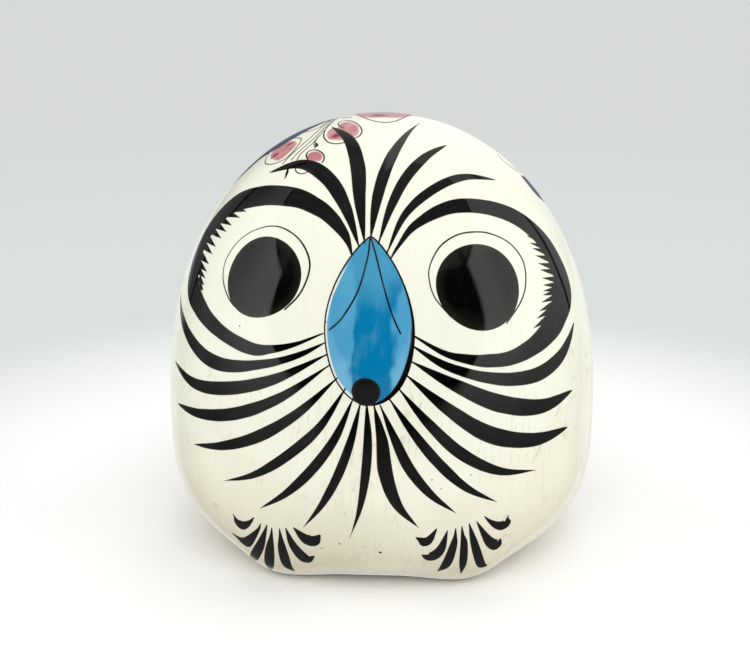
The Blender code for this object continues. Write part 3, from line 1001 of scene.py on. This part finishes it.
# The flowers on the head: pink fills, thin lines with their widths, short marks, leaves, blots
PETAL_FILLS = (
    [(-12.9, 65.6), (-15, 66), (-15.9, 63), (-14.8, 60.3), (-12.3, 59.2), (-9.2, 59.3), (-6.3, 60.6),
     (-5.7, 63), (-7, 66.4), (-10.2, 69.2), (-12.4, 68.3)],
    [(-25.4, 61.4), (-27.1, 63.3), (-29.7, 64.4), (-32.5, 63.6), (-35.2, 62), (-35.3, 59.4),
     (-33.7, 57.2), (-31.6, 55.2), (-29.5, 54.9), (-27.4, 56.7), (-25.7, 59.1)],
    [(-20.3, 54), (-19.5, 52.7), (-17.5, 51.8), (-15.7, 51.7), (-15.3, 53.1), (-16.4, 54.8),
     (-18.2, 55.6), (-19.9, 55)],
)
FLOWER_LINES = (
    ([(-8.6, 79.5), (-8.5, 76), (-3.8, 69.9), (1.4, 67.6), (5.7, 69.8), (9.1, 76.5), (9.3, 80)], 0.45),
    ([(-10.9, 65), (-12.8, 67.2), (-13.2, 69.5), (-10.7, 70.3), (-7, 67.1), (-5, 63.3), (-5.4, 60.6),
      (-7.2, 59.4)], 0.45),
    ([(-15.3, 77.6), (-16.1, 70.4), (-16.9, 66.3), (-16.6, 62.1), (-14.9, 59.1), (-12.5, 57.8),
      (-10.4, 57.8), (-8.7, 58.4)], 0.45),
    ([(-24.4, 61.5), (-24.6, 63.4), (-27.1, 65.2), (-31.1, 66.4), (-36, 65), (-37, 60.2), (-36, 56.1),
      (-33.3, 54.2), (-30.4, 53.9), (-27.5, 54.9), (-25.4, 57.6), (-24.3, 61)], 0.35),
    ([(-19.6, 52.6), (-20.6, 54.4), (-20.1, 55.9), (-17.9, 56.1), (-15.5, 54.4), (-14.7, 52.4),
      (-15.2, 50.9)], 0.5),
    ([(-23.2, 50.8), (-22.8, 49), (-20.9, 47.9), (-18.6, 48.4)], 0.4),
    ([(-20.9, 57.5), (-22.7, 55.2), (-23.3, 53.1)], 0.35),
    ([(-17.6, 75.1), (-19.6, 69), (-22.5, 67.6), (-25.3, 68.4)], 0.3),
    ([(-16.6, 76), (-19.8, 65.3), (-22.5, 60.4), (-26.2, 55.6), (-28.2, 52.7)], 0.35),
    ([(-15.6, 75.5), (-18.5, 64.2), (-21.2, 59.4), (-23.8, 56), (-25.3, 53.4)], 0.35),
    ([(-15.3, 77.6), (-16.3, 68.6), (-17.9, 63), (-19.7, 59.1), (-20.9, 57.5)], 0.3),
    ([(-18.2, 62.6), (-18.9, 59.9), (-18.9, 57.9)], 0.35),
    ([(-13.2, 74.4), (-12.4, 73.6), (-11.8, 74.6)], 0.35),
    ([(-11.2, 73.4), (-10.4, 72.8), (-9.9, 73.8)], 0.35),
)
FLOWER_MARKS = (
    [(-18.5, 59.4, 0.2), (-18, 57.9, 1.3), (-18.6, 56.9, 0.2)],
    [(-25.8, 50.9, 0.2), (-25.7, 49, 1.1), (-26.1, 46.9, 0.2)],
    [(40, 65.5, 0.3), (42.4, 62.4, 0.4), (46, 61.6, 0.4), (50, 62.6, 0.3)],
)
HEAD_LEAVES = (
    [(-17, 76.5, 0.3), (-22.5, 73.4, 5), (-28.5, 70.4, 10), (-34.2, 67.4, 12.5), (-38.8, 65.4, 10),
     (-43.2, 63.2, 7.5), (-47.6, 60.2, 6.5), (-51.2, 58.2, 4), (-54.8, 56.4, 0.3)],
    [(49.6, 60, 0.3), (52.6, 58.8, 8), (55.6, 57.8, 10.5), (58.6, 56.6, 8), (62.4, 54.4, 0.3)],
)
PETAL_BLOTS = ((-32.6, 58.2, 2.1, 1.9), (-28.6, 62, 2.3, 1.4), (-12.4, 61.4, 3.1, 2),
               (-1.1, 73.6, 4.2, 3.2))


def paint_front_flowers(materials):
    paints = flower_paints()
    petals, blots, ink, leaves = paints
    petals.disc(FACE, (0.3, 78.5), lobed(10.5, 0.05, radians(90)))
    for knots in PETAL_FILLS:
        petals.patch(FACE, knots)
    for knots, width in FLOWER_LINES:
        ink.line(FACE, knots, width)
    for knots in FLOWER_MARKS:
        ink.brush(FACE, knots)
    for knots in HEAD_LEAVES:
        leaves.brush(FACE, knots)
    for right, up, half_width, half_height in PETAL_BLOTS:
        blots.disc(FACE, (right, up), egg(half_width, half_height, 0.1), rings=5, steps=24)
    finish_flowers(paints, materials, "front")


# ---- the unseen back

def paint_back(black, materials):
    """Wings, tail and flower sprays in the same brushwork as the front."""
    for side, name in ((-1, "wing_left"), (1, "wing_right")):
        wing = Paint(STROKE_LIFT)
        for k in range(6):
            root = (side * (60 - 3 * k), 16 - 9 * k)
            bend = (side * (46 - 3 * k), 2 - 11 * k)
            tip = (side * (28 - 1.5 * k), -6 - 9.5 * k)
            wing.brush(NAPE, [root, bend, tip], 4.6 - 0.25 * k, 0.55)
        wing.finish(name, black, "back_glaze")
    tail = Paint(STROKE_LIFT)
    for k in range(-3, 4):
        tail.brush(NAPE, [(2.2 * k, -26), (4.6 * k, -41), (7.2 * k, -55 + abs(k))], 3.6, 0.6)
    tail.finish("tail_feathers", black, "back_glaze")
    paints = flower_paints()
    _, _, ink, leaves = paints
    blossom(paints, NAPE, (0, 22), lobed(11.0, 0.10))
    blossom(paints, NAPE, (-20, 46), lobed(6.5, 0.08))
    blossom(paints, NAPE, (22, 44), lobed(6.0, 0.08))
    for knots in ([(0, -18), (-2, -4), (0, 10)], [(-1, -8), (-14, 12), (-19, 36)],
                  [(0, -6), (14, 10), (21, 34)], [(-4, 34), (-2, 50), (2, 64)]):
        ink.line(NAPE, knots)
    for side in (-1, 1):
        leaves.brush(NAPE, [(side * 3, -10), (side * 14, -6), (side * 26, 4)], 6.0, 0.5)
        leaves.brush(NAPE, [(side * 8, 4), (side * 22, 14), (side * 33, 28)], 5.6, 0.5)
        leaves.brush(NAPE, [(side * 6, 36), (side * 10, 48), (side * 12, 60)], 5.0, 0.5)
        flank = Chart(side * radians(107), 0.0)
        blossom(paints, flank, (side * 2, 28), lobed(5.5, 0.08))
        ink.line(flank, [(0, -20), (side * 1.5, 0), (side * 1.5, 20)])
        for turn in (-1, 1):
            leaves.brush(flank, [(turn * 1.5, -10), (turn * 6, -3), (turn * 9, 7)], 4.4, 0.5)
    finish_flowers(paints, materials, "back")


# ---- studio

def floor():
    """Pale floor with painted light: a white pool of light round the object, falling off to a painted
    soft grey shade further off.
    """
    g = Graph("studio_floor")
    painted_pool_white, near_painted_shade_grey, far_painted_shade_grey = (0.95, 0.95, 0.945), (0.63, 0.66, 0.655), (0.60, 0.62, 0.605)
    # Painted light: white round the object, turning to painted grey shade with distance
    away = g.length(g.place())
    colour = g.mix(g.remap(away, 0.13, 0.30), painted_pool_white, near_painted_shade_grey)
    colour = g.mix(g.remap(away, 0.3, 0.9), colour, far_painted_shade_grey)
    g.shader.inputs["Specular IOR Level"].default_value = 0.0
    mesh = bpy.data.meshes.new("studio_floor")
    corners = ((-1, -1), (1, -1), (1, 1), (-1, 1))
    mesh.from_pydata([(FLOOR_REACH * x, FLOOR_REACH * y, -FLOOR_DROP) for x, y in corners],
                     [], [(0, 1, 2, 3)])
    mesh.materials.append(g.finish(colour, 0.8))
    obj = bpy.data.objects.new("studio_floor", mesh)
    bpy.context.scene.collection.objects.link(obj)
    obj.visible_glossy = False


def soft_light(name, azimuth, elevation, strength, spread):
    """Very soft distant light; it lights the scene but isn't seen in the glaze."""
    data = bpy.data.lights.new(name, "SUN")
    data.energy = strength
    data.angle = radians(spread)
    obj = bpy.data.objects.new(name, data)
    turn, rise = radians(azimuth), radians(elevation)
    towards = Vector((sin(turn) * cos(rise), -cos(turn) * cos(rise), sin(rise)))
    obj.rotation_euler = towards.to_track_quat("Z", "Y").to_euler()
    obj.visible_glossy = False
    bpy.context.scene.collection.objects.link(obj)


def studio_light():
    """Surroundings that the glaze mirrors: bright to both sides, dark straight in front."""
    world = bpy.data.worlds.new("studio")
    bpy.context.scene.world = world
    g = Graph("studio", world)

    def step(angle, low, high, to_low=0.0, to_high=1.0):
        """Smooth change between two angles in degrees."""
        return g.remap(angle, radians(low), radians(high), to_low, to_high)

    axes = g.split(g.add("TexCoord").outputs["Generated"])
    turn = g.around(axes)
    azimuth = g.math("ABSOLUTE", turn)
    elevation = g.math("ARCSINE", axes["Z"])
    # The dark window in front is narrower and softer low down than at eye height
    edge = step(elevation, -30, 16, radians(12), radians(53))
    soft = step(elevation, -14, 5, 8.0, 0.3)
    beside = step(g.math("DIVIDE", g.minus(azimuth, edge), soft), -1, 1)
    # Each side box fades towards the back and low down, and the one to the right is brighter
    fade = g.times(step(azimuth, 60, 92, 1.0, 0.45), step(azimuth, 95, 125, 1.0, 0.7),
                       step(turn, 70, 95, 1.46, 2.2), step(turn, -125, -98, 0.45, 1.0),
                       step(elevation, -26, 15, 0.18, 1.0))
    brightness = g.plus(fade, step(azimuth, 150, 170, 0.0, 0.4))
    room_corner = g.math("ABSOLUTE", g.minus(azimuth, radians(127)))
    # The side boxes rise away from the window, and the right one stands higher
    rim = g.plus(g.times(azimuth, 0.5), step(turn, -20, 20, radians(2), radians(9)))
    above = g.minus(elevation, rim)
    ceiling = step(elevation, 55, 88, 0.20, 0.36)
    level = g.times(beside, brightness, step(room_corner, 0.8, 2.0, 0.1, 1.0),
                        step(above, -0.8, 0.0, 1.0, 0.0))
    over_boxes = g.times(step(above, 0.8, 1.6), beside, ceiling)
    over_window = g.times(step(elevation, 34.5, 35.5), step(azimuth, 48.0, 48.8, 1.0, 0.0), ceiling)
    overhead = g.times(step(elevation, 50, 54), ceiling)
    table = step(elevation, -26, -11, 0.27, 0.01)
    behind = g.times(step(azimuth, 120, 150), step(elevation, -8, 0, 0.8, 0.0))
    for part in (over_boxes, over_window, overhead, table, behind):
        level = g.math("MAXIMUM", level, part)
    # Looked at directly, the surroundings are as plain as the far end of the floor
    seen = g.add("LightPath").outputs["Is Camera Ray"]
    level = g.plus(g.times(level, g.minus(1.0, seen)), g.times(seen, BACKDROP))
    background = g.nodes["Background"]
    background.inputs["Color"].default_value = (1.0, 1.0, 1.0, 1.0)
    g.set(background.inputs["Strength"], level)
    soft_light("front_light", 6, 38, 1.1, 60)
    soft_light("top_light", -10, 78, 0.92, 90)
    soft_light("left_light", -82, 20, 0.82, 80)
    soft_light("right_light", 82, 20, 0.66, 80)


def camera():
    """Photographer's view: slightly above, a touch to the owl's left."""
    aim = Vector((0.0, 0.0, HEIGHT / 2))
    above, aside, away = radians(17), radians(4), 0.55
    back = Vector((sin(aside) * cos(above), -cos(aside) * cos(above), sin(above)))
    data = bpy.data.cameras.new("camera")
    data.sensor_width = 36.0
    data.lens = 74.6
    data.shift_x = -7.0 / PHOTO_WIDTH
    data.shift_y = -1.6 / PHOTO_WIDTH
    data.clip_end = 50.0
    obj = bpy.data.objects.new("camera", data)
    obj.location = aim + back * away
    obj.rotation_euler = (-back).to_track_quat("-Z", "Y").to_euler()
    bpy.context.scene.collection.objects.link(obj)
    bpy.context.scene.camera = obj


def build():
    camera()
    floor()
    studio_light()
    bpy.context.scene.view_settings.view_transform = "Standard"
    half_shell("front_shell", 0, cream_glaze("front_cream"))
    half_shell("back_shell", AROUND, cream_glaze("back_cream"))
    beak(beak_glaze("beak_blue"))
    for node, tint in (("base_slab", (0.52, 0.36, 0.23)), ("base_coil", (0.48, 0.32, 0.20)),
                       ("seam_coil", (0.50, 0.34, 0.21))):
        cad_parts[node].data.materials.clear()
        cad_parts[node].data.materials.append(bare_clay(node + "_clay", tint))
    black, line_ink = black_paint("black_brush"), line_paint("thin_ink")
    flower_materials = (petal_paint("pink_petal"), blot_paint("crimson_blot"), line_ink,
                        leaf_paint("slate_leaf"))
    paint_eyes(black, line_ink)
    paint_brows(black)
    paint_feathers(black)
    paint_feet(black)
    paint_beak(black, line_ink)
    paint_specks(line_ink)
    paint_front_flowers(flower_materials)
    paint_back(black, flower_materials)


build()
